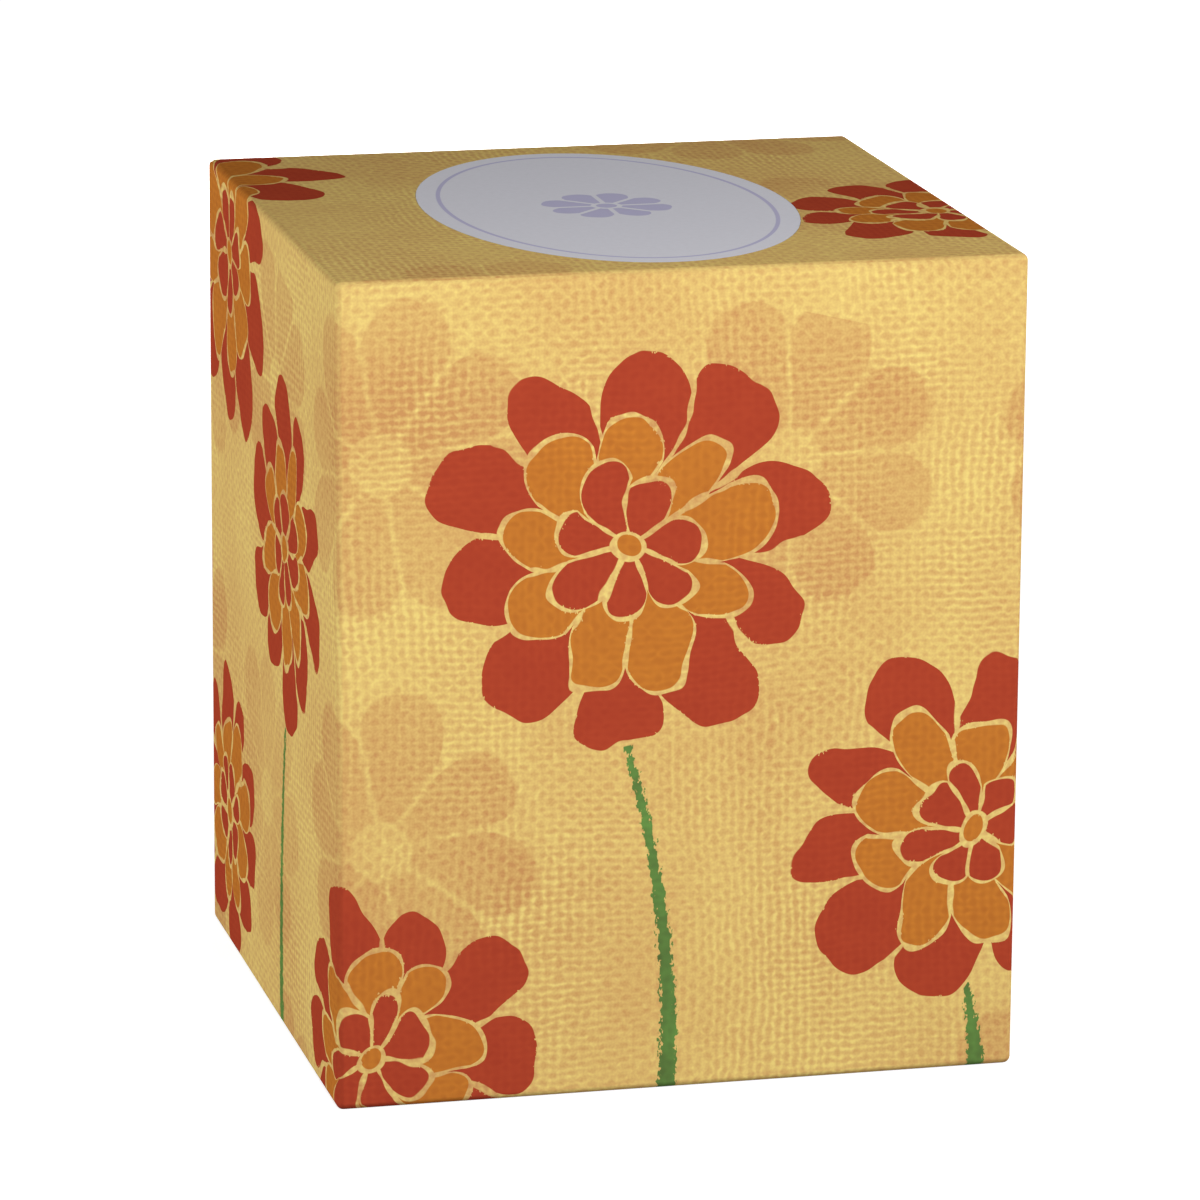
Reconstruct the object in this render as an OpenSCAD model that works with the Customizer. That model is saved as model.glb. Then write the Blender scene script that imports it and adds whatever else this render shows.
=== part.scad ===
// A sealed upright carton of facial tissues, folded and glued from one sheet of paperboard.
// It is closed all round, so it is one solid. The folds, the lapped joints and the
// perforated oval in the top have the real carton's form.
// The origin is at the middle of the base. The front wall faces -Y and +Z is up.

/* [Carton] */
// Width of the front wall
carton_w = 110; // [80:1:160]
// Depth from the front wall to the rear wall
carton_d = 106; // [80:1:160]
// Height of the walls
carton_h = 132; // [60:1:200]
// Thickness of the paperboard
board_t = 0.45; // [0.3:0.05:0.8]
// Outside radius of every fold
fold_r = 1.15; // [0.9:0.05:3]

/* [Lapped joints] */
// How far the rear wall's cut edge stops short of the right wall, over the glue flap
seam_setback = 1; // [0.4:0.1:4]
// How far the cut edges of the top and of the base stop short of the rear wall
closure_setback = 1.6; // [0.4:0.1:4]

/* [Tear-out oval] */
// Board left between the oval and each side wall
oval_side_margin = 25.3; // [10:0.1:35]
// Board left between the oval and the front wall
oval_front_margin = 5.3; // [4:0.1:20]
// Board left between the oval and the rear wall
oval_rear_margin = 7.7; // [5:0.1:20]
// Length of one cut of the perforation
cut_l = 5; // [2:0.5:10]
// Length of board left between two cuts
nick_l = 1; // [0.5:0.1:2]
// Width of a cut
cut_w = 0.3; // [0.2:0.05:0.5]

/* [Hidden] */
// Straight pieces in one cut, which follow the oval's curve
CUT_FACES = 4;
// Steps round the oval, along which its length is measured
OVAL_STEPS = 180;
// How far a cutting shape stands clear of the face that it cuts
CLEAR = 1;
BOARD_COLOUR = "#dcae58";
OVAL_COLOUR = "#bcbbc6";
$fn = 48;

oval_w = carton_w - 2 * oval_side_margin;
oval_d = carton_d - oval_front_margin - oval_rear_margin;
oval_middle_y = (oval_front_margin - oval_rear_margin) / 2;

// A point of the oval's outline at turn degrees
function oval_point(turn) = [oval_w / 2 * cos(turn), oval_d / 2 * sin(turn) + oval_middle_y];

// The unit direction out of the oval at turn degrees
function oval_outward(turn) =
    let (way = [oval_d * cos(turn), oval_w * sin(turn)]) way / norm(way);

// Pairs of the length walked round the oval and the turn that it reaches
oval_walk = [
    for (step = 0, walked = 0;
         step <= OVAL_STEPS;
         step = step + 1,
         walked = walked + norm(oval_point(step * 360 / OVAL_STEPS)
                                - oval_point((step - 1) * 360 / OVAL_STEPS)))
    [walked, step * 360 / OVAL_STEPS]
];
oval_length = oval_walk[OVAL_STEPS][0];
cut_count = round(oval_length / (cut_l + nick_l));
cut_pitch = oval_length / cut_count;

// A rectangle from low to high. Its corners are rounded as folds where rounded says 1,
// in the order low-low, high-low, high-high, low-high, and are left as cut edges where 0.
module folded_outline(low, high, rounded) {
    size = high - low;
    corners = [[low.x, low.y], [high.x, low.y], [high.x, high.y], [low.x, high.y]];
    inward = [[1, 1], [-1, 1], [-1, -1], [1, -1]];
    translate([low.x + fold_r, low.y])
        square([size.x - 2 * fold_r, size.y]);
    translate([low.x, low.y + fold_r])
        square([size.x, size.y - 2 * fold_r]);
    for (i = [0:3])
        translate(corners[i] + inward[i] * fold_r)
            if (rounded[i] == 1)
                circle(fold_r);
            else
                square(2 * fold_r, center = true);
}

// The walls seen from above. The right wall turns in as a glue flap under the rear wall,
// whose cut edge shows beside the corner.
module wall_plan() {
    folded_outline([-carton_w / 2, -carton_d / 2],
                   [carton_w / 2, carton_d / 2 - board_t], [1, 1, 1, 1]);
    folded_outline([-carton_w / 2, -carton_d / 2],
                   [carton_w / 2 - seam_setback, carton_d / 2], [1, 1, 0, 1]);
}

// The section from front to back. The top and the base are outer flaps hinged on the
// front wall, and each lies on a flap that turns in from the rear wall.
module closure_section() {
    folded_outline([-carton_d / 2, board_t],
                   [carton_d / 2, carton_h - board_t], [1, 1, 1, 1]);
    folded_outline([-carton_d / 2, 0],
                   [carton_d / 2 - closure_setback, carton_h], [1, 0, 0, 1]);
}

// The section across the front, with a fold at each corner.
module front_section() {
    folded_outline([-carton_w / 2, 0], [carton_w / 2, carton_h], [1, 1, 1, 1]);
}

// The closed carton: what its three sections have in common.
module folded_carton() {
    intersection() {
        linear_extrude(carton_h)
            wall_plan();
        rotate([90, 0, 90])
            linear_extrude(carton_w, center = true)
                closure_section();
        rotate([90, 0, 0])
            linear_extrude(carton_d, center = true)
                front_section();
    }
}

// The oval's outline, in the plane of the top.
module oval_outline() {
    polygon([for (step = [0:2:OVAL_STEPS - 1]) oval_point(step * 360 / OVAL_STEPS)]);
}

// The oval that tears out of the top, one board thick.
module tear_out_oval() {
    translate([0, 0, carton_h - board_t])
        linear_extrude(board_t)
            oval_outline();
}

// One cut of the perforation, which starts after a walk of start round the oval.
module perforation_cut(start) {
    turns = [for (i = [0:CUT_FACES]) lookup(start + cut_l * i / CUT_FACES, oval_walk)];
    outer_side = [for (turn = turns) oval_point(turn) + oval_outward(turn) * cut_w / 2];
    inner_side = [for (i = [CUT_FACES:-1:0])
        oval_point(turns[i]) - oval_outward(turns[i]) * cut_w / 2];
    translate([0, 0, carton_h - board_t])
        linear_extrude(board_t + CLEAR)
            polygon(concat(outer_side, inner_side));
}

module sealed_carton() {
    difference() {
        union() {
            color(BOARD_COLOUR)
                difference() {
                    folded_carton();
                    translate([0, 0, carton_h - board_t])
                        linear_extrude(board_t + CLEAR)
                            oval_outline();
                }
            color(OVAL_COLOUR)
                tear_out_oval();
        }
        for (i = [0:cut_count - 1])
            perforation_cut(i * cut_pitch);
    }
}

sealed_carton();
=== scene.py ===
"""Dresses a sealed tissue carton as folded and glued board with a block-printed canvas pattern.

Each wall, the top, the base and the tear-out oval is a plate of board. The plates meet in the
middle of the folds and stand for the carton's one solid. The print is drawn once, on the flat
blank, and runs over the folds.
"""

import math
from itertools import accumulate, pairwise

import bmesh
import bpy
import numpy as np
from bpy.props import FloatProperty, FloatVectorProperty, IntProperty, PointerProperty
from mathutils import Matrix, Vector


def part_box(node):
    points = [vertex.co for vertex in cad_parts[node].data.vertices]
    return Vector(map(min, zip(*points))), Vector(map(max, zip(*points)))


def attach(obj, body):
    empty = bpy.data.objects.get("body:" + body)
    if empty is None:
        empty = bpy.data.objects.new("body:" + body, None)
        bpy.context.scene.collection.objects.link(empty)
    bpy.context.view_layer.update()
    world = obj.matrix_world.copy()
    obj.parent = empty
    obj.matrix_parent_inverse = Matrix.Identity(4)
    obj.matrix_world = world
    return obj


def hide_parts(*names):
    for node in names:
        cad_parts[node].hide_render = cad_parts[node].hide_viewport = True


bl_info = {
    "name": "Printed Tissue Carton",
    "version": (1, 0, 0),
    "blender": (4, 5, 0),
    "location": "3D View > Sidebar > Carton",
    "description": "Adds a sealed tissue carton of folded, glued and printed board",
    "category": "Add Mesh",
}

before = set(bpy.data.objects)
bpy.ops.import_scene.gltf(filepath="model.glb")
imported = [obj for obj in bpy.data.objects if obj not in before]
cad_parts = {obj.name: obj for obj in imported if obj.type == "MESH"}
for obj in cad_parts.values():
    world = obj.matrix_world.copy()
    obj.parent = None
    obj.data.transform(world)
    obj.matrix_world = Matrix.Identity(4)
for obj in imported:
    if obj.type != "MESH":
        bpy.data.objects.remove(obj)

NODE = "sealed_carton"
BODY = "root"
MM = 0.001
BOX_LOW, BOX_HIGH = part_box(NODE)
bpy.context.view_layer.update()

LEFT = Vector((-1, 0, 0))
RIGHT = Vector((1, 0, 0))
FRONT = Vector((0, -1, 0))
REAR = Vector((0, 1, 0))
DOWN = Vector((0, 0, -1))
UP = Vector((0, 0, 1))

# The carton's half sizes and the starts of its walls on the flat blank, in millimetres
HALF_W = (BOX_HIGH.x - BOX_LOW.x) / 2 / MM
HALF_D = (BOX_HIGH.y - BOX_LOW.y) / 2 / MM
HALF_H = (BOX_HIGH.z - BOX_LOW.z) / 2 / MM
LEFT_START = 2 * HALF_W
FRONT_START = LEFT_START + 2 * HALF_D
RIGHT_START = FRONT_START + 2 * HALF_W

# The map that the print follows, and the map that it is baked on. The bake map has a strip
# at its foot, and these shares of its height hold the inner face and the rims.
PRINT_MAP = "blank"
BAKE_MAP = "OFBake"
BAKE_STRIP = 0.03
INNER_FACE_SHARE = 0.4
RIM_FOOT_SHARE = 0.5
RIM_SHARE = 0.4

# Steps round the oval, along which its length is measured
OVAL_STEPS = 720
# Places along a cut of the perforation and how far it stands open there, as shares
CUT_PROFILE = ((0, 0), (0.024, 1), (0.26, 1), (0.5, 1), (0.74, 1), (0.976, 1), (1, 0))
# The share of its length that a unit vector has along another that points the same way
NEARLY_ONE = 0.99
# Nearer to a cut's plane than this, in metres, a point counts as on it
CUT_SLACK = 1e-7
# How far a mitre in the middle of a fold faces a panel's way, and how near to that counts
MITRE_SLOPE = math.sqrt(0.5)
MITRE_SLACK = 0.1
# Below this angle, neighbouring faces are shaded as one round face
ROUND_ANGLE = math.radians(30)

# Canvas print, in millimetres: the pitch of its threads, and the waves that pull it askew,
# each with its length and how far it reaches
THREAD_PITCH = (1.5, 1.25)
CANVAS_PULLS = (
    (45, (4.0, 2.8, 0.0)),
    (6, (0.8, 0.6, 0.0)),
    (1.7, (0.6, 0.5, 0.0)),
)
# How far a thread strays in its crossing, and how strong a crossing is and how much that varies
THREAD_STRAY = 1.6
CROSSING = 0.9
CROSSING_RANGE = 2.0
CROSSING_BEND = 0.2
# Stripes of one thread: the size of the patches that they come and go in, and their strengths
STRIPE_PATCH = 24
STRIPE_DRIFT = 4.0
STRIPE_LEAST = 0.5
ROW_RANGE = 2.0
COLUMN_RANGE = 2.2
# Slubs, which are long thick stretches of thread: their length, widths, onset and light
SLUB_LENGTH = 22.0
SLUB_FINENESS = (1.1, 1.2)
SLUB_ONSET = (0.64, 0.78)
SLUB_LIGHT = 0.08
# The share of tan, and what the threads, the cloudy patches and the grain add to it
TAN = 0.45
TAN_BY_WEAVE = 0.2
TAN_BY_WEAVE_RANGE = 0.16
CLOUD_SIZE = 34
TAN_BY_CLOUD = 0.6
GRAIN_FINENESS = 2.6
TAN_BY_GRAIN = 0.3
# How far painted shade darkens the print in the folds
FOLD_SHADE = 0.13

# Petals: the gap between two, the lean of their tips, how blunt they are, and their reach as
# shares of the ring's
PETAL_GAP = 0.85
PETAL_LEAN = 0.34
PETAL_BLUNT = 2.0
PETAL_BLUNT_RANGE = 1.6
PETAL_REACH = 0.9
PETAL_REACH_RANGE = 0.13
PETAL_TIP_DROP = 0.3

# Flower heads: the reach of each ring as a share of the flower's, and its number of petals
FLOWER_RINGS = ((1.0, 10), (0.66, 9), (0.36, 7))
BUTTON_SHARE = 0.07
# How far a flower is drawn out of shape, over waves of what length, and how the flowers and
# their rings are turned apart
FLOWER_BEND = (5.0, 5.0, 0.0)
BEND_WAVE = 12
FLOWER_STRIDE = 31.0
FLOWER_TURN = 0.37
RING_TURN = 0.21
# The middle of each flower on the flat blank, and its reach
FLOWERS = (
    (262, 88, 34),
    (318, 40, 29.3),
    (222, 8, 27.2),
    (176, 80, 28.1),
    (128, 120, 31.2),
    (126, 24, 25.1),
    (179, 238, 25.2),
    (384, 92, 32.3),
    (428, 30, 27.9),
    (38, 84, 33.1),
    (78, 34, 24.6),
)
# The top and the foot of each stem, and how far it bows aside
STEMS = (
    ((262, 57), (269, 0), 2.5),
    ((318, 14), (320, 0), 0.3),
    ((176, 55), (171, 0), -2.0),
    ((384, 63), (391, 0), 2.5),
    ((38, 54), (33, 0), -2.5),
    ((78, 12), (77, 0), 0.3),
)
# Half of a stem's width at its top, what it gains to the foot, and how far it runs past that
STEM_HALF_WIDTH = 0.55
STEM_SPREAD = 0.9
STEM_OVERRUN = 3
# Faint flowers: their pitch, the shift of their pattern, their stray, and their sizes
FAINT_PITCH = 60
FAINT_SHIFT = (144.0, 397.0, 0.0)
FAINT_STRAY = 0.42
FAINT_REACH = 26.0
FAINT_PETALS = 8
FAINT_BUTTON = 5.0
FAINT_EDGE = 0.5
FAINT_STRENGTHS = (0.1, 0.75)
TAN_BY_FAINT = 0.29
FAINT_WEAVE_LOSS = 0.045

# Inks: the blur of an edge, how far it wobbles, and the dry hairs of the brush along it
INK_BLUR = 0.08
EDGE_WOBBLE = 0.8
WOBBLE_FINENESS = 0.3
HAIR_FINENESS = (2.6, 1.5)
HAIR_ONSET = (0.6, 0.76)
HAIR_PATCH_FINENESS = 0.14
HAIR_PATCH_ONSET = (0.52, 0.68)
HAIR_LENGTH = 0.35
STEM_BRUSH_FINENESS = (1.4, 0.7)
STEM_BRUSH = 2.2
# The size of an ink's lighter patches, and how much more they show in green light
PATCH_SIZE = 6
PATCH_HUE = 1.6
# How far the weave shows through the stems, the red and the orange, and how patchy each is
STEM_TONE = (0.05, 0.5)
RED_TONE = (0.03, 0.12)
ORANGE_TONE = (0.05, 0.12)

# The oval's print: the ring inside its edge, the flower in its middle and the ground's mottle
RING_INSET = 3.6
RING_WIDTH = 0.7
OVAL_FLOWER_REACH = 10.5
OVAL_FLOWER_PETALS = 8
OVAL_FLOWER_TURN = 0.5
OVAL_FLOWER_SEED = 3.0
OVAL_BUTTON = 1.7
MOTTLE_FINENESS = 0.9
MOTTLE = 0.08

# Roughness and specular level of each finish
PRINT_SHEEN = (0.6, 0.0)
BARE_SHEEN = (0.9, 0.1)
# Fineness, detail, contrast and level of the fibres on the board's cut edges and inner face
BARE_FIBRES = {
    "board_edge": (1.5, 3.0, 0.3, 1.0),
    "board_inside": (0.6, 4.0, 0.2, 0.9),
}

# The camera's place and, in degrees, its turn, as the photo's corners give them
CAMERA_PLACE = (-0.251908, -1.025563, 0.335563)
CAMERA_TURN = (75.69741, -0.39066, -13.68376)
# Place of each lamp, and its width and height
LAMPS = {
    "key": ((0.0, -0.455, 0.3), (0.566, 0.566)),
    "fill": ((-0.6, 0.079, 0.117), (0.5, 0.1)),
    "side": ((0.977, -0.15, 0.392), (0.5, 0.25)),
    "back": ((0.0, 0.8, 0.07), (0.5, 0.1)),
}
SENSOR_WIDTH = 36
CLIP_RANGE = (0.05, 20)
# The floor: its half width, its drop below the base, its greys as the camera and as other rays
# see it, and its glow, which grows from near the carton to far off
FLOOR_REACH = 3.0
FLOOR_DROP = 0.00002
FLOOR_SEEN = (0.6, 0.6, 0.6, 1.0)
FLOOR_UNSEEN = (0.25, 0.25, 0.25, 1.0)
FLOOR_GLOW = (0.8, 1.0)
GLOW_RANGE = (0.2, 0.7)
WHITE = (1.0, 1.0, 1.0, 1.0)

FLOAT = "NodeSocketFloat"
VECTOR = "NodeSocketVector"
COLOUR = "NodeSocketColor"

FINISHES = {}


def linear(hex_colour):
    """The linear colour of a colour written as on a paint chart, such as E0B060."""
    parts = [int(hex_colour[i:i + 2], 16) / 255 for i in (0, 2, 4)]
    return tuple(p / 12.92 if p <= 0.04045 else ((p + 0.055) / 1.055) ** 2.4 for p in parts)


def length_setting(name, description, size):
    """A length in millimetres as a setting in metres."""
    return FloatProperty(name=name, description=description, default=size * MM, unit="LENGTH",
                         precision=5)


def colour_setting(name, description, hex_colour):
    """A colour that a user would change."""
    return FloatVectorProperty(name=name, description=description, subtype="COLOR", size=3,
                               min=0.0, max=1.0, default=linear(hex_colour))


class BoardSettings(bpy.types.PropertyGroup):
    """Sizes of the board, its folds, its lapped joints and its perforation."""

    thickness: length_setting("Board", "Thickness of the board", 0.45)
    fold_radius: length_setting("Fold Radius", "Outside radius of every fold", 1.15)
    fold_steps: IntProperty(name="Fold Steps", description="Flat steps round a fold", default=8, min=2)
    seam_setback: length_setting("Seam Setback", "From the rear wall's cut edge to the right wall", 1)
    closure_setback: length_setting("Closure Setback", "From their cut edges to the rear wall", 1.6)
    flap_reach: length_setting("Flap Reach", "Width of the glue flaps", 16)
    oval_width: length_setting("Oval Width", "Width of the tear-out oval", 59.4)
    oval_depth: length_setting("Oval Depth", "Depth of the tear-out oval", 93)
    oval_middle: length_setting("Oval Middle", "Place of the oval's middle behind the carton's", -1.2)
    cut_length: length_setting("Cut", "Length of one cut of the perforation", 5)
    nick_length: length_setting("Nick", "Length of board left between two cuts", 1)
    cut_width: length_setting("Cut Width", "Width that a cut stands open", 0.06)


class PrintSettings(bpy.types.PropertyGroup):
    """Inks and board colours."""

    thread: colour_setting("Thread", "Bright threads of the printed canvas", "F6DB83")
    gap: colour_setting("Gap", "Tan dots between the threads", "D39A60")
    red: colour_setting("Red", "Petals of the outer and the inner ring", "B4462E")
    orange: colour_setting("Orange", "Petals of the middle ring, and the button", "C97A31")
    green: colour_setting("Green", "Stems", "658946")
    oval: colour_setting("Oval", "Ground of the tear-out oval", "EEEDF5")
    oval_ink: colour_setting("Oval Ink", "Ring and flower on the oval", "CBC7E4")
    core: colour_setting("Core", "Raw edges and inner face of the board", "B9AE9C")


class StudioSettings(bpy.types.PropertyGroup):
    """Camera and lamps."""

    camera_place: FloatVectorProperty(name="Camera", description="Place of the camera",
                                      default=CAMERA_PLACE, subtype="TRANSLATION", unit="LENGTH")
    camera_turn: FloatVectorProperty(name="Camera Turn", description="Turn of the camera",
                                     default=[math.radians(turn) for turn in CAMERA_TURN],
                                     subtype="EULER", unit="ROTATION")
    lens: FloatProperty(name="Lens", description="Focal length on a 36 mm sensor", default=200.34,
                        unit="CAMERA")
    sky: FloatProperty(name="Sky", description="Level of the light from all round", default=0.03, min=0.0)
    key_power: FloatProperty(name="Key Lamp", description="Power of the lamp at the front", default=2.72,
                             unit="POWER")
    fill_power: FloatProperty(name="Fill Lamp", description="Power of the lamp at the left", default=2.03,
                              unit="POWER")
    side_power: FloatProperty(name="Side Lamp", description="Power of the lamp at the right", default=5.9,
                              unit="POWER")
    back_power: FloatProperty(name="Back Lamp", description="Power of the lamp behind", default=2.6,
                              unit="POWER")


# Shader nodes


class Wire:
    """A value in a shader tree. Arithmetic on wires adds the Math node that works it out."""

    def __init__(self, socket):
        self.socket = socket
        self.tree = socket.id_data

    def __add__(self, other):
        return calc("ADD", self, other)

    __radd__ = __add__

    def __sub__(self, other):
        return calc("SUBTRACT", self, other)

    def __rsub__(self, other):
        return calc("SUBTRACT", other, self)

    def __mul__(self, other):
        return calc("MULTIPLY", self, other)

    __rmul__ = __mul__

    def __truediv__(self, other):
        return calc("DIVIDE", self, other)

    def __rtruediv__(self, other):
        return calc("DIVIDE", other, self)


def feed(socket, value):
    """Wires a value into a socket, or sets it there if it is a plain number."""
    if isinstance(value, Wire):
        value.tree.links.new(value.socket, socket)
    else:
        socket.default_value = value


def node_in(kind, values, sockets=None, **settings):
    """Adds a node to the tree of the first wire among its values and feeds them in order."""
    tree = next(value.tree for value in values if isinstance(value, Wire))
    node = tree.nodes.new(kind)
    for name, setting in settings.items():
        setattr(node, name, setting)
    for place, value in zip(sockets or range(len(values)), values):
        feed(node.inputs[place], value)
    return node


def calc(operation, *values):
    """A Math node."""
    return Wire(node_in("ShaderNodeMath", values, operation=operation).outputs[0])


def calc_vector(operation, *values):
    """A Vector Math node that puts out a vector."""
    return Wire(node_in("ShaderNodeVectorMath", values, operation=operation).outputs["Vector"])


def scaled(vector, share):
    """A vector or a colour times a number."""
    node = node_in("ShaderNodeVectorMath", (vector, share), ("Vector", "Scale"), operation="SCALE")
    return Wire(node.outputs["Vector"])


def dot(first, second):
    """The dot product of two vectors."""
    node = node_in("ShaderNodeVectorMath", (first, second), operation="DOT_PRODUCT")
    return Wire(node.outputs["Value"])


def length(vector):
    """The length of a vector."""
    return Wire(node_in("ShaderNodeVectorMath", (vector,), operation="LENGTH").outputs["Value"])


def parts_of(vector):
    """The first two parts of a vector."""
    node = node_in("ShaderNodeSeparateXYZ", (vector,))
    return Wire(node.outputs["X"]), Wire(node.outputs["Y"])


def all_parts_of(vector):
    """The three parts of a vector."""
    return [Wire(socket) for socket in node_in("ShaderNodeSeparateXYZ", (vector,)).outputs]


def vector_of(x, y, z=0.0):
    """A vector from its parts."""
    return Wire(node_in("ShaderNodeCombineXYZ", (x, y, z)).outputs[0])


def ramp(value, low, high):
    """Runs smoothly from 0 at low to 1 at high."""
    node = node_in("ShaderNodeMapRange", (value, low, high), interpolation_type="SMOOTHSTEP")
    return Wire(node.outputs["Result"])


def mixed(kind, share, first, second):
    """The first value where share is 0 and the second where it is 1."""
    names = {"FLOAT": (0, 2, 3), "VECTOR": (0, 4, 5), "RGBA": (0, 6, 7)}
    outputs = {"FLOAT": 0, "VECTOR": 1, "RGBA": 2}
    node = share.tree.nodes.new("ShaderNodeMix")
    node.data_type = kind
    for place, value in zip(names[kind], (share, first, second)):
        if kind == "RGBA" and isinstance(value, (tuple, list)) and len(value) == 3:
            value = (*value, 1.0)
        feed(node.inputs[place], value)
    return Wire(node.outputs[outputs[kind]])


def noise(vector, scale, detail=0.0, roughness=0.5, colour=False):
    """Smooth noise, from about 0.25 to 0.75 round 0.5. Its colour holds three of them."""
    node = node_in("ShaderNodeTexNoise", (vector, scale, detail, roughness),
                   ("Vector", "Scale", "Detail", "Roughness"), noise_dimensions="2D")
    return Wire(node.outputs["Color" if colour else "Fac"])


def new_group(name, inputs, outputs):
    """A shader node group. Returns it, its inputs as wires and its output node."""
    tree = bpy.data.node_groups.new(name, "ShaderNodeTree")
    for label, kind in inputs.items():
        tree.interface.new_socket(label, in_out="INPUT", socket_type=kind)
    for label, kind in outputs.items():
        tree.interface.new_socket(label, in_out="OUTPUT", socket_type=kind)
    source = tree.nodes.new("NodeGroupInput")
    return tree, [Wire(source.outputs[label]) for label in inputs], tree.nodes.new("NodeGroupOutput")


def placed_group(group, *values):
    """Places a group and feeds it. Returns its outputs as wires."""
    tree = next(value.tree for value in values if isinstance(value, Wire))
    node = tree.nodes.new("ShaderNodeGroup")
    node.node_tree = group
    for socket, value in zip(node.inputs, values):
        feed(socket, value)
    return [Wire(socket) for socket in node.outputs]


# Folded board


def faces_way(face, way):
    """Whether a flat side's face looks that way."""
    return face.normal.dot(way) > NEARLY_ONE


def folded_box(low, high, cut_side=None):
    """A hollow box with a fold along each edge. The cut side is open, with no fold round it."""
    settings = bpy.context.scene.board_settings
    bm = bmesh.new()
    middle = Matrix.Translation((low + high) / 2)
    bmesh.ops.create_cube(bm, size=1.0, matrix=middle @ Matrix.Diagonal((*(high - low), 1.0)))
    folds = [edge for edge in bm.edges
             if cut_side is None or not any(faces_way(face, cut_side) for face in edge.link_faces)]
    bmesh.ops.bevel(bm, geom=folds, offset=settings.fold_radius, segments=settings.fold_steps,
                    profile=0.5, affect="EDGES", material=-1)
    if cut_side is not None:
        open_faces = [face for face in bm.faces if faces_way(face, cut_side)]
        bmesh.ops.delete(bm, geom=open_faces, context="FACES")
    return bm


def cut_away(bm, point, outward):
    """Cuts away what lies beyond the plane through a point."""
    bmesh.ops.bisect_plane(bm, geom=bm.verts[:] + bm.edges[:] + bm.faces[:], dist=CUT_SLACK,
                           plane_co=point, plane_no=outward, clear_outer=True)


class Panel:
    """One plate of the folded blank: the side that it faces and its place on the flat blank."""

    def __init__(self, name, outward, across, along, blank_middle):
        self.name = name
        self.outward = outward
        self.across = across
        self.along = along
        self.blank_middle = Vector(blank_middle)
        half = (BOX_HIGH - BOX_LOW) / 2
        self.middle = (BOX_LOW + BOX_HIGH) / 2 + Vector(a * b for a, b in zip(outward, half))

    def laid_flat(self, point):
        """Where a point of the folded board lies on the panel laid flat, from its middle."""
        away = point - self.middle
        depth = -away.dot(self.outward)
        flat = Vector((away.dot(self.across), away.dot(self.along)))
        return Vector(distance + math.copysign(depth, distance) for distance in flat)


PANELS = {
    panel.name: panel
    for panel in (
        Panel("rear_wall", REAR, LEFT, UP, (HALF_W, HALF_H)),
        Panel("left_wall", LEFT, FRONT, UP, (LEFT_START + HALF_D, HALF_H)),
        Panel("front_wall", FRONT, RIGHT, UP, (FRONT_START + HALF_W, HALF_H)),
        Panel("right_wall", RIGHT, REAR, UP, (RIGHT_START + HALF_D, HALF_H)),
        Panel("top_panel", UP, FRONT, RIGHT, (LEFT_START + HALF_D, 2 * HALF_H + HALF_W)),
        Panel("base_panel", DOWN, RIGHT, FRONT, (FRONT_START + HALF_W, -HALF_D)),
    )
}


def mitre(bm, panel, others):
    """Cuts a panel off in the middle of its folds with the panels that face the other ways."""
    for other in others:
        corner = panel.middle + Vector(a * b for a, b in zip(other, (BOX_HIGH - BOX_LOW) / 2))
        cut_away(bm, corner, other - panel.outward)


def lay_out_bake_map(bm, panel, outer, rims):
    """Lays the outer face over the bake map. Strips at its foot hold the inner face and the rims."""
    bake_map = bm.loops.layers.uv.new(BAKE_MAP)
    flat = {vert: panel.laid_flat(vert.co) for vert in bm.verts}
    low = Vector(min(place[i] for place in flat.values()) for i in (0, 1))
    high = Vector(max(place[i] for place in flat.values()) for i in (0, 1))
    for face in bm.faces:
        foot, height = (0, INNER_FACE_SHARE * BAKE_STRIP)
        if face in outer:
            foot, height = (BAKE_STRIP, 1 - BAKE_STRIP)
        if face not in rims:
            for loop in face.loops:
                share = [(flat[loop.vert][i] - low[i]) / (high[i] - low[i]) for i in (0, 1)]
                loop[bake_map].uv = share[0], foot + share[1] * height
    for cell, face in enumerate(rims):
        for loop, (along, through) in zip(face.loops, ((0, 0), (1, 0), (1, 1), (0, 1))):
            height = (RIM_FOOT_SHARE + RIM_SHARE * through) * BAKE_STRIP
            loop[bake_map].uv = (cell + along) / len(rims), height


def plate_piece(name, bm, panel, finish):
    """Gives a skin in a panel's place the board's thickness, maps and materials, and makes it a piece."""
    thickness = bpy.context.scene.board_settings.thickness
    outer = set(bm.faces)
    border = [edge for edge in bm.edges if edge.is_boundary]
    bmesh.ops.solidify(bm, geom=bm.faces[:], thickness=thickness)
    bm.normal_update()
    rims = [face for edge in border for face in edge.link_faces if face not in outer]
    lay_out_bake_map(bm, panel, outer, rims)
    print_map = bm.loops.layers.uv.new(PRINT_MAP)
    for face in bm.faces:
        face.smooth = True
        if face in rims:
            in_fold = abs(abs(face.normal.dot(panel.outward)) - MITRE_SLOPE) < MITRE_SLACK
            face.material_index = 0 if in_fold else 1
        elif face not in outer:
            face.material_index = 2
        for loop in face.loops:
            loop[print_map].uv = panel.blank_middle + panel.laid_flat(loop.vert.co) / MM
    mesh = bpy.data.meshes.new(name)
    bm.to_mesh(mesh)
    bm.free()
    mesh.set_sharp_from_angle(angle=ROUND_ANGLE)
    for material in (finish, "board_edge", "board_inside"):
        mesh.materials.append(FINISHES[material])
    piece = bpy.data.objects.new(name, mesh)
    bpy.context.scene.collection.objects.link(piece)
    even = piece.modifiers.new("Even Shading", "WEIGHTED_NORMAL")
    even.keep_sharp = True
    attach(piece, BODY)
    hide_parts(NODE)


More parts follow.
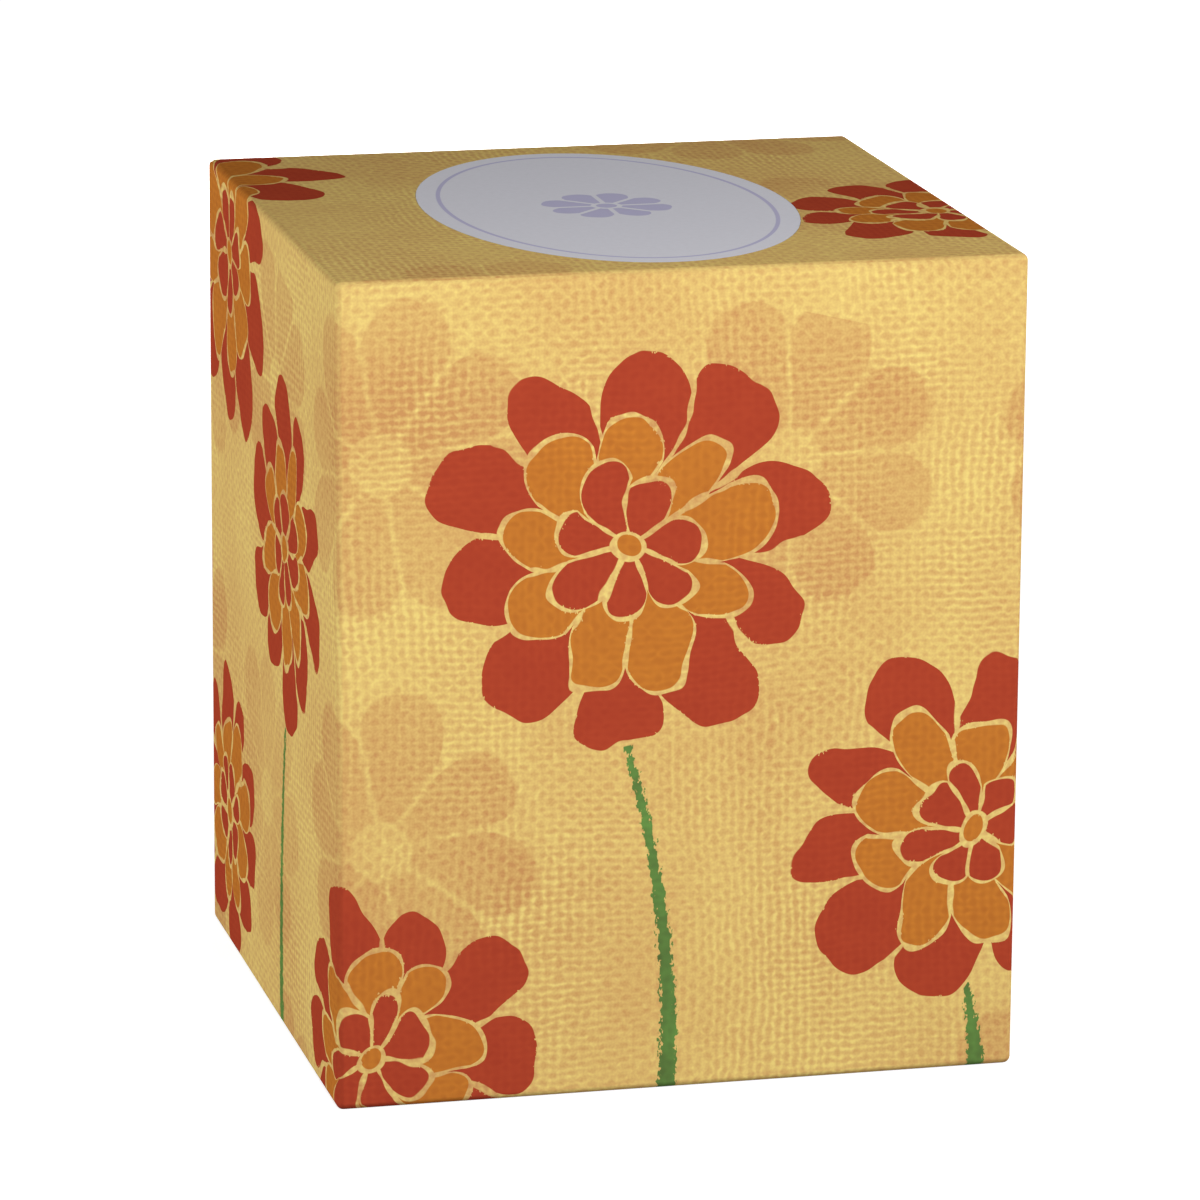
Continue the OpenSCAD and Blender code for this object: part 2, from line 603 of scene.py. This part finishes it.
def oval_point(turn, out=0.0):
    """The point of the oval's edge at a turn, moved straight out of the oval."""
    board = bpy.context.scene.board_settings
    half_width = board.oval_width / 2
    half_depth = board.oval_depth / 2
    middle = Vector((0, board.oval_middle, BOX_HIGH.z))
    place = Vector((half_width * math.cos(turn), half_depth * math.sin(turn), 0))
    outward = Vector((half_depth * math.cos(turn), half_width * math.sin(turn), 0)).normalized()
    return middle + place + outward * out


def oval_outline(side):
    """Points round the oval, on its edge at the nicks. Between them they leave it by half of a
    cut's width, outwards for side 1 and inwards for -1."""
    board = bpy.context.scene.board_settings
    turns = [math.tau * step / OVAL_STEPS for step in range(OVAL_STEPS + 1)]
    steps = pairwise(oval_point(turn) for turn in turns)
    walked = [0.0, *accumulate((after - before).length for before, after in steps)]
    cuts = round(walked[-1] / (board.cut_length + board.nick_length))
    pitch = walked[-1] / cuts
    stops = [(share * board.cut_length, opening) for share, opening in CUT_PROFILE]
    stops.append((board.cut_length + board.nick_length / 2, 0))
    points = []
    for cut in range(cuts):
        for distance, opening in stops:
            turn = np.interp(cut * pitch + distance, walked, turns)
            points.append(oval_point(turn, side * opening * board.cut_width / 2))
    return points


def add_ring(bm, points, filled):
    """A closed ring of vertices at the points. Filled, it is one flat face that faces up."""
    ring = bmesh.ops.create_circle(bm, cap_ends=filled, segments=len(points), radius=BOX_HIGH.x)["verts"]
    for vert, point in zip(ring, points):
        vert.co = point
    bm.normal_update()
    for face in bm.faces:
        if filled and face.normal.z < 0:
            face.normal_flip()
    return ring


def fill_round_ring(bm, ring, corners):
    """Fills between a ring and the corners round it. Each ring vertex goes with its nearest corner."""
    nearest = [min(corners, key=lambda corner: (corner.co - vert.co).length) for vert in ring]
    around = zip(ring, nearest, ring[1:] + ring[:1], nearest[1:] + nearest[:1])
    for vert, corner, next_vert, next_corner in around:
        corners_met = (corner,) if corner is next_corner else (corner, next_corner)
        face = bmesh.ops.contextual_create(bm, geom=(vert, *corners_met, next_vert))["faces"][0]
        if face.normal.z < 0:
            face.normal_flip()


# Studio


def add_lamp(context, name, place, size, power):
    """A soft lamp, wide and high as size says, that points at the carton's middle."""
    data = bpy.data.lights.new(name, "AREA")
    data.shape = "RECTANGLE"
    data.size, data.size_y = size
    data.energy = power
    lamp = bpy.data.objects.new(name, data)
    lamp.location = place
    lamp.rotation_euler = ((BOX_LOW + BOX_HIGH) / 2 - lamp.location).to_track_quat("-Z", "Y").to_euler()
    lamp.visible_camera = False
    context.scene.collection.objects.link(lamp)


def seen_as_backdrop(tree):
    """1 for rays from the camera and for those that gloss or glass sends on."""
    path = tree.nodes.new("ShaderNodeLightPath")
    seen = Wire(path.outputs["Is Camera Ray"])
    for name in ("Is Glossy Ray", "Is Transmission Ray"):
        seen = calc("MAXIMUM", seen, Wire(path.outputs[name]))
    return seen


def floor_paint():
    """Pale paint that the camera sees as white, with the carton's shadow, and not from below."""
    material = bpy.data.materials.new("pale_floor")
    material.use_nodes = True
    tree = material.node_tree
    tree.nodes.clear()
    paint = tree.nodes.new("ShaderNodeBsdfDiffuse")
    paint.inputs["Color"].default_value = FLOOR_SEEN
    glow = tree.nodes.new("ShaderNodeEmission")
    place = tree.nodes.new("ShaderNodeTexCoord")
    far = ramp(length(Wire(place.outputs["Object"])), *GLOW_RANGE)
    feed(glow.inputs["Strength"], mixed("FLOAT", far, *FLOOR_GLOW))
    seen = tree.nodes.new("ShaderNodeAddShader")
    tree.links.new(paint.outputs[0], seen.inputs[0])
    tree.links.new(glow.outputs[0], seen.inputs[1])
    unseen = tree.nodes.new("ShaderNodeBsdfDiffuse")
    unseen.inputs["Color"].default_value = FLOOR_UNSEEN
    above = tree.nodes.new("ShaderNodeMixShader")
    feed(above.inputs[0], seen_as_backdrop(tree))
    tree.links.new(unseen.outputs[0], above.inputs[1])
    tree.links.new(seen.outputs[0], above.inputs[2])
    clear = tree.nodes.new("ShaderNodeBsdfTransparent")
    geometry = tree.nodes.new("ShaderNodeNewGeometry")
    below = tree.nodes.new("ShaderNodeMixShader")
    tree.links.new(geometry.outputs["Backfacing"], below.inputs[0])
    tree.links.new(above.outputs[0], below.inputs[1])
    tree.links.new(clear.outputs[0], below.inputs[2])
    output = tree.nodes.new("ShaderNodeOutputMaterial")
    tree.links.new(below.outputs[0], output.inputs["Surface"])
    return material


def add_floor(context):
    """The floor that the carton stands on."""
    bm = bmesh.new()
    bmesh.ops.create_grid(bm, x_segments=1, y_segments=1, size=FLOOR_REACH)
    bmesh.ops.translate(bm, vec=DOWN * FLOOR_DROP, verts=bm.verts[:])
    mesh = bpy.data.meshes.new("floor")
    bm.to_mesh(mesh)
    bm.free()
    mesh.materials.append(floor_paint())
    floor = bpy.data.objects.new("floor", mesh)
    context.scene.collection.objects.link(floor)


def add_sky(context):
    """A backdrop that the camera sees as white and that lights the carton from all round."""
    world = bpy.data.worlds.new("soft_sky")
    context.scene.world = world
    world.use_nodes = True
    tree = world.node_tree
    back = tree.nodes["Background"]
    back.inputs["Color"].default_value = WHITE
    level = context.scene.studio_settings.sky
    strength = mixed("FLOAT", seen_as_backdrop(tree), level, 1.0)
    feed(back.inputs["Strength"], strength)


# Print and finishes


def scattered(place, scale, detail=0.0):
    """Three smooth noises, each from about -0.25 to 0.25, as a vector."""
    return calc_vector("SUBTRACT", noise(place, scale, detail, colour=True), (0.5, 0.5, 0.5))


def thread_stripes(across, share, strength):
    """Stripes one thread wide, which come, go and drift with a smooth noise."""
    return calc("COSINE", across * 2.0 + share * STRIPE_DRIFT) * (share * -strength - STRIPE_LEAST)


def canvas_group():
    """Canvas as printed: bright threads over tan dots, drawn askew, with slubs and cloudy patches."""
    tree, (place,), out = new_group("canvas", {"Place": VECTOR}, {"Tan": FLOAT, "Weave": FLOAT})
    pulled = place
    for wave, reach in CANVAS_PULLS:
        fray = scattered(place, 1 / wave)
        pulled = calc_vector("MULTIPLY_ADD", fray, reach, pulled)
    x, y = parts_of(pulled)
    x = x * (math.pi / THREAD_PITCH[0])
    y = y * (math.pi / THREAD_PITCH[1])
    row_share, column_share, strength = all_parts_of(scattered(place, 1 / STRIPE_PATCH, detail=2.0))
    rise, slip, knot = all_parts_of(fray)
    crossing = calc("SINE", x + rise * THREAD_STRAY) * calc("SINE", y + slip * THREAD_STRAY)
    weave = crossing * (knot * CROSSING_RANGE + CROSSING)
    rows = thread_stripes(y, row_share, ROW_RANGE)
    columns = thread_stripes(x, column_share, COLUMN_RANGE)
    weave = weave + rows + columns
    weave = weave * (weave * -CROSSING_BEND + 1.0)
    px, py = parts_of(place)
    upright = vector_of(px * SLUB_FINENESS[0], py / SLUB_LENGTH)
    level = vector_of(px / SLUB_LENGTH, py * SLUB_FINENESS[1])
    slubs = calc("MAXIMUM", *(ramp(noise(way, 1.0), *SLUB_ONSET) for way in (upright, level)))
    cloud = noise(place, 1 / CLOUD_SIZE, detail=3.0) - 0.5
    grain = noise(place, GRAIN_FINENESS) - 0.5
    tan = weave * (strength * TAN_BY_WEAVE_RANGE + TAN_BY_WEAVE)
    tan = tan + cloud * TAN_BY_CLOUD + grain * TAN_BY_GRAIN + TAN - slubs * SLUB_LIGHT
    feed(out.inputs["Tan"], calc("MINIMUM", calc("MAXIMUM", tan, 0.0), 1.0))
    feed(out.inputs["Weave"], weave)
    return tree


def polar(x, y):
    """The bearing of a place, in turns, and its distance from the middle."""
    return calc("ARCTAN2", y, x) / math.tau, calc("SQRT", x * x + y * y)


def petal_ring_group():
    """A ring of round-tipped petals: about how far a point lies outside the nearest, in millimetres."""
    inputs = dict.fromkeys(("Bearing", "Radius", "Reach", "Count", "Turn", "Seed"), FLOAT)
    tree, (bearing, radius, reach, count, turn, seed), out = new_group(
        "petal_ring", inputs, {"Distance": FLOAT})
    spokes = calc("MULTIPLY_ADD", bearing, count, turn)
    spoke = calc("ROUND", spokes)
    chance = node_in("ShaderNodeTexWhiteNoise", (vector_of(calc("FLOORED_MODULO", spoke, count), seed),),
                     ("Vector",), noise_dimensions="2D")
    chances = node_in("ShaderNodeSeparateColor", (Wire(chance.outputs["Color"]),))
    long, lean, blunt = (Wire(socket) for socket in chances.outputs)
    aside = spokes - spoke
    off_tip = calc("ABSOLUTE", calc("MULTIPLY_ADD", lean, PETAL_LEAN, aside * 2.0) - PETAL_LEAN / 2)
    falling = calc("POWER", off_tip, blunt * PETAL_BLUNT_RANGE + PETAL_BLUNT)
    edge = reach * (long * PETAL_REACH_RANGE + PETAL_REACH - falling * PETAL_TIP_DROP)
    side = calc("MULTIPLY_ADD", calc("ABSOLUTE", aside), -1.0, 0.5) * (math.tau / count)
    feed(out.inputs["Distance"], calc("MAXIMUM", radius - edge, PETAL_GAP / 2 - radius * side))
    return tree


def flower_group(petal_ring):
    """A flower head seen from the front: how far a point lies outside its red and its orange parts."""
    tree, (offset, reach), out = new_group(
        "flower_head", {"Offset": VECTOR, "Reach": FLOAT}, {"Red": FLOAT, "Orange": FLOAT})
    place = calc_vector("ADD", offset, vector_of(reach * FLOWER_STRIDE, 0.0))
    bent = calc_vector("MULTIPLY_ADD", scattered(place, 1 / BEND_WAVE), FLOWER_BEND, offset)
    bearing, radius = polar(*parts_of(bent))
    rings = []
    for number, (share, count) in enumerate(FLOWER_RINGS):
        (ring,) = placed_group(petal_ring, bearing, radius, reach * share, float(count),
                               reach * (FLOWER_TURN + RING_TURN * number), reach + number)
        rings.append(ring)
    outer, middle, inner = rings
    button = radius - reach * BUTTON_SHARE
    outer = calc("MAXIMUM", outer, PETAL_GAP - calc("MINIMUM", middle, inner))
    middle = calc("MAXIMUM", middle, PETAL_GAP - inner)
    inner = calc("MAXIMUM", inner, PETAL_GAP - button)
    feed(out.inputs["Red"], calc("MINIMUM", outer, inner))
    feed(out.inputs["Orange"], calc("MINIMUM", middle, button))
    return tree


def nearest_flower(place):
    """The offset from the nearest flower's middle and that flower's reach."""
    nearest = None
    for u, v, reach in FLOWERS:
        distance = node_in("ShaderNodeVectorMath", (place, (u, v, 0.0)), operation="DISTANCE")
        margin = Wire(distance.outputs["Value"]) - reach
        if nearest is None:
            least, nearest = margin, (u, v, reach)
        else:
            nearest = mixed("VECTOR", calc("LESS_THAN", margin, least), nearest, (u, v, reach))
            least = calc("MINIMUM", least, margin)
    reach = all_parts_of(nearest)[2]
    return calc_vector("MULTIPLY", calc_vector("SUBTRACT", place, nearest), (1.0, 1.0, 0.0)), reach


def faint_petals(place, petal_ring):
    """How strongly large faint flowers, strewn at random, show at a point."""
    place = calc_vector("ADD", place, FAINT_SHIFT)
    strewn = node_in("ShaderNodeTexVoronoi", (place, 1 / FAINT_PITCH, FAINT_STRAY),
                     ("Vector", "Scale", "Randomness"), voronoi_dimensions="2D")
    offset = calc_vector("SUBTRACT", place, Wire(strewn.outputs["Position"]))
    bearing, radius = polar(*parts_of(offset))
    seed, strength = parts_of(Wire(strewn.outputs["Color"]))
    (petals,) = placed_group(petal_ring, bearing, radius, FAINT_REACH, float(FAINT_PETALS), seed, seed)
    shown = ramp(calc("MAXIMUM", petals, FAINT_BUTTON - radius), FAINT_EDGE, -FAINT_EDGE)
    return shown * ramp(strength, *FAINT_STRENGTHS)


def stem_distance(x, y, top, foot, bow):
    """How far a point lies outside a stem that runs from top to just past foot and bows aside."""
    down = (top[1] - y) / (top[1] - foot[1])
    middle = down * (foot[0] - top[0]) + top[0] + down * (1.0 - down) * (4 * bow)
    half_width = down * STEM_SPREAD + STEM_HALF_WIDTH
    beyond_ends = calc("MAXIMUM", y - top[1], (foot[1] - STEM_OVERRUN) - y)
    return calc("MAXIMUM", calc("ABSOLUTE", x - middle) - half_width, beyond_ends)


def print_group(settings, petal_ring, flower_head):
    """The whole print on the flat blank: canvas, faint flowers, stems and flower heads."""
    tree, (place,), out = new_group("block_print", {"Place": VECTOR}, {"Color": COLOUR})
    tan, weave = placed_group(canvas_group(), place)
    x, y = parts_of(place)

    tan_by_faint = weave * -FAINT_WEAVE_LOSS + TAN_BY_FAINT
    tan = calc("MINIMUM", tan + faint_petals(place, petal_ring) * tan_by_faint, 1.0)
    colour = mixed("RGBA", tan, tuple(settings.thread), tuple(settings.gap))

    wobble = noise(place, WOBBLE_FINENESS) - 0.5
    hairs = noise(vector_of(x * HAIR_FINENESS[0], y * HAIR_FINENESS[1]), 1.0, detail=1.0)
    hairy = ramp(noise(place, HAIR_PATCH_FINENESS), *HAIR_PATCH_ONSET)
    edge = wobble * EDGE_WOBBLE + ramp(hairs, *HAIR_ONSET) * hairy * HAIR_LENGTH

    red, orange = placed_group(flower_head, *nearest_flower(place))
    stems = None
    for stem in STEMS:
        distance = stem_distance(x, y, *stem)
        stems = distance if stems is None else calc("MINIMUM", stems, distance)
    stroke = vector_of(x * STEM_BRUSH_FINENESS[0], y * STEM_BRUSH_FINENESS[1])
    brush = noise(stroke, 1.0, detail=2.0, roughness=0.7) - 0.5
    stems = calc("MAXIMUM", stems + brush * STEM_BRUSH, PETAL_GAP - calc("MINIMUM", red, orange))

    patch = noise(place, 1 / PATCH_SIZE, detail=2.0, roughness=0.6) - 0.5
    for distance, ink, (bleed, blotch) in (
        (stems, settings.green, STEM_TONE),
        (red + edge, settings.red, RED_TONE),
        (orange + edge, settings.orange, ORANGE_TONE),
    ):
        tone = patch * blotch - weave * bleed
        tones = vector_of(tone, tone * PATCH_HUE, tone)
        inked = calc_vector("MULTIPLY_ADD", tones, tuple(ink), tuple(ink))
        colour = mixed("RGBA", ramp(distance, INK_BLUR, -INK_BLUR), colour, inked)
    feed(out.inputs["Color"], colour)
    return tree


def oval_group(settings, petal_ring):
    """The oval's print: a thin ring inside its edge and a small pale flower in its middle."""
    board = bpy.context.scene.board_settings
    half_along = board.oval_depth / 2 / MM
    half_across = board.oval_width / 2 / MM
    middle = PANELS["top_panel"].blank_middle - Vector((board.oval_middle / MM, 0))
    tree, (place,), out = new_group("oval_print", {"Place": VECTOR}, {"Color": COLOUR})
    x, y = parts_of(calc_vector("SUBTRACT", place, (*middle, 0.0)))
    share = length(vector_of(x / half_along, y / half_across))
    slope = length(vector_of(x / half_along ** 2, y / half_across ** 2)) / share
    from_edge = (share - 1.0) / slope
    ring = calc("ABSOLUTE", from_edge + RING_INSET) - RING_WIDTH / 2
    bearing, radius = polar(x, y)
    (petals,) = placed_group(petal_ring, bearing, radius, OVAL_FLOWER_REACH, float(OVAL_FLOWER_PETALS),
                             OVAL_FLOWER_TURN, OVAL_FLOWER_SEED)
    button = radius - OVAL_BUTTON
    petals = calc("MAXIMUM", petals, PETAL_GAP - button)
    inked = ramp(calc("MINIMUM", ring, calc("MINIMUM", petals, button)), INK_BLUR, -INK_BLUR)
    mottle = noise(place, MOTTLE_FINENESS, detail=3.0, roughness=0.7) - 0.5
    ground = scaled(tuple(settings.oval), mottle * MOTTLE + 1.0)
    feed(out.inputs["Color"], mixed("RGBA", inked, ground, tuple(settings.oval_ink)))
    return tree


def fold_share_group():
    """A group that runs from 0 on the carton's flat walls to 1 in the middle of its folds. It masks the
    painted shade there.
    """
    tree, (place,), out = new_group("fold_share", {"Place": VECTOR}, {"Share": FLOAT})
    radius = bpy.context.scene.board_settings.fold_radius
    middle = (BOX_LOW + BOX_HIGH) / 2
    half = (BOX_HIGH - BOX_LOW) / 2
    aside = calc_vector("ABSOLUTE", calc_vector("SUBTRACT", place, tuple(middle)))
    shift = tuple(1 - size / radius for size in half)
    near = calc_vector("MULTIPLY_ADD", aside, (1 / radius,) * 3, shift)
    near = calc_vector("MAXIMUM", near, (0.0, 0.0, 0.0))
    total = dot(near, (1.0, 1.0, 1.0))
    feed(out.inputs["Share"], calc("MINIMUM", total * total - dot(near, near), 1.0))
    return tree


def new_finish(name, sheen):
    """A new material. Returns its surface and, as a wire, the place on the flat blank."""
    material = bpy.data.materials.new(name)
    FINISHES[name] = material
    material.use_nodes = True
    surface = material.node_tree.nodes["Principled BSDF"]
    surface.inputs["Roughness"].default_value, surface.inputs["Specular IOR Level"].default_value = sheen
    blank = material.node_tree.nodes.new("ShaderNodeUVMap")
    blank.uv_map = PRINT_MAP
    return surface, Wire(blank.outputs["UV"])


def mix_printed_finishes(settings):
    """The printed canvas with painted shade in the folds, and the oval's print."""
    petal_ring = petal_ring_group()
    block_print = print_group(settings, petal_ring, flower_group(petal_ring))

    surface, place = new_finish("canvas_print", PRINT_SHEEN)
    (colour,) = placed_group(block_print, place)
    solid_place = place.tree.nodes.new("ShaderNodeTexCoord").outputs["Object"]
    (folded,) = placed_group(fold_share_group(), Wire(solid_place))
    # Painted shade: the print's colour is darkened towards the middle of each fold
    feed(surface.inputs["Base Color"], scaled(colour, folded * -FOLD_SHADE + 1.0))

    surface, place = new_finish("oval_print", PRINT_SHEEN)
    (colour,) = placed_group(oval_group(settings, petal_ring), place)
    feed(surface.inputs["Base Color"], colour)


def mix_bare_finishes(settings):
    """The board's cut edges and its inner face, which show its fibres."""
    for name, (fineness, detail, contrast, level) in BARE_FIBRES.items():
        surface, place = new_finish(name, BARE_SHEEN)
        fibre = noise(place, fineness, detail, roughness=0.7) - 0.5
        feed(surface.inputs["Base Color"], scaled(tuple(settings.core), fibre * contrast + level))


# Steps and sidebar


class CARTON_OT_mix_inks(bpy.types.Operator):
    """Make the board's printed and bare finishes, which every piece of it needs first"""

    bl_idname = "carton.mix_inks"
    bl_label = "Board and Inks"

    def execute(self, context):
        mix_printed_finishes(context.scene.print_settings)
        mix_bare_finishes(context.scene.print_settings)
        return {"FINISHED"}


class CARTON_OT_add_walls(bpy.types.Operator):
    """Add the four walls, folded and lapped at the rear right corner"""

    bl_idname = "carton.add_walls"
    bl_label = "Folded Walls"

    def execute(self, context):
        board = context.scene.board_settings
        front = PANELS["front_wall"]
        shell = folded_box(BOX_LOW, BOX_HIGH)
        mitre(shell, front, (LEFT, RIGHT, UP, DOWN))
        plate_piece("front_wall", shell, front, "canvas_print")

        left = PANELS["left_wall"]
        shell = folded_box(BOX_LOW, BOX_HIGH)
        mitre(shell, left, (FRONT, REAR, UP, DOWN))
        plate_piece("left_wall", shell, left, "canvas_print")

        right = PANELS["right_wall"]
        shell = folded_box(BOX_LOW, BOX_HIGH + FRONT * board.thickness)
        mitre(shell, right, (FRONT, UP, DOWN))
        cut_away(shell, BOX_HIGH + LEFT * board.flap_reach, LEFT)
        plate_piece("right_wall", shell, right, "canvas_print")

        rear = PANELS["rear_wall"]
        step = UP * board.thickness
        shell = folded_box(BOX_LOW + step, BOX_HIGH - step + LEFT * board.seam_setback, RIGHT)
        mitre(shell, rear, (LEFT,))
        cut_away(shell, BOX_HIGH + FRONT * board.flap_reach, FRONT)
        plate_piece("rear_wall", shell, rear, "canvas_print")
        return {"FINISHED"}


class CARTON_OT_add_closures(bpy.types.Operator):
    """Add the base and the top, whose cut edges stop short of the rear wall"""

    bl_idname = "carton.add_closures"
    bl_label = "Top and Base"

    def execute(self, context):
        setback = FRONT * context.scene.board_settings.closure_setback
        base = PANELS["base_panel"]
        shell = folded_box(BOX_LOW, BOX_HIGH + setback, REAR)
        mitre(shell, base, (FRONT, LEFT, RIGHT))
        plate_piece("base_panel", shell, base, "canvas_print")

        top = PANELS["top_panel"]
        shell = folded_box(BOX_LOW, BOX_HIGH + setback, REAR)
        mitre(shell, top, (FRONT, LEFT, RIGHT))
        flat = max(shell.faces, key=lambda face: face.calc_area())
        corners = list(flat.verts)
        bmesh.ops.delete(shell, geom=[flat], context="FACES_ONLY")
        fill_round_ring(shell, add_ring(shell, oval_outline(1), filled=False), corners)
        plate_piece("top_panel", shell, top, "canvas_print")
        return {"FINISHED"}


class CARTON_OT_add_oval(bpy.types.Operator):
    """Add the oval that tears out of the top, which the nicks between the cuts hold"""

    bl_idname = "carton.add_oval"
    bl_label = "Tear-out Oval"

    def execute(self, context):
        bm = bmesh.new()
        add_ring(bm, oval_outline(-1), filled=True)
        plate_piece("tear_out_oval", bm, PANELS["top_panel"], "oval_print")
        return {"FINISHED"}


class CARTON_OT_set_up_studio(bpy.types.Operator):
    """Set up the floor, the soft lamps, the white backdrop and the camera"""

    bl_idname = "carton.set_up_studio"
    bl_label = "Studio"

    def execute(self, context):
        studio = context.scene.studio_settings
        camera_data = bpy.data.cameras.new("camera")
        camera_data.lens = studio.lens
        camera_data.sensor_width = SENSOR_WIDTH
        camera_data.clip_start, camera_data.clip_end = CLIP_RANGE
        camera = bpy.data.objects.new("camera", camera_data)
        camera.location = studio.camera_place
        camera.rotation_euler = studio.camera_turn
        context.scene.collection.objects.link(camera)
        context.scene.camera = camera
        context.scene.view_settings.view_transform = "Standard"

        add_floor(context)
        add_sky(context)
        for name, (place, size) in LAMPS.items():
            add_lamp(context, f"{name}_lamp", place, size, getattr(studio, f"{name}_power"))
        return {"FINISHED"}


class CARTON_PT_sidebar(bpy.types.Panel):
    """Lists the steps that build the carton"""

    bl_idname = "CARTON_PT_sidebar"
    bl_label = "Tissue Carton"
    bl_space_type = "VIEW_3D"
    bl_region_type = "UI"
    bl_category = "Carton"

    def draw(self, context):
        for name in ("board_settings", "print_settings", "studio_settings"):
            settings = getattr(context.scene, name)
            for prop in settings.bl_rna.properties:
                if prop.identifier not in ("rna_type", "name"):
                    self.layout.prop(settings, prop.identifier)
        for operator in STEPS:
            self.layout.operator(operator.bl_idname)


SETTINGS = {
    "board_settings": BoardSettings,
    "print_settings": PrintSettings,
    "studio_settings": StudioSettings,
}
STEPS = (
    CARTON_OT_mix_inks,
    CARTON_OT_set_up_studio,
    CARTON_OT_add_walls,
    CARTON_OT_add_closures,
    CARTON_OT_add_oval,
)


def register():
    """Registers the settings, the steps and the panel."""
    for name, settings in SETTINGS.items():
        bpy.utils.register_class(settings)
        setattr(bpy.types.Scene, name, PointerProperty(type=settings))
    for step in (*STEPS, CARTON_PT_sidebar):
        bpy.utils.register_class(step)


def unregister():
    """Takes them away again."""
    for step in (*STEPS, CARTON_PT_sidebar):
        bpy.utils.unregister_class(step)
    for name, settings in SETTINGS.items():
        delattr(bpy.types.Scene, name)
        bpy.utils.unregister_class(settings)


def main():
    """Builds the carton in its studio."""
    register()
    bpy.ops.carton.mix_inks()
    bpy.ops.carton.set_up_studio()
    bpy.ops.carton.add_walls()
    bpy.ops.carton.add_closures()
    bpy.ops.carton.add_oval()
    bpy.context.view_layer.update()


if __name__ == "__main__":
    main()
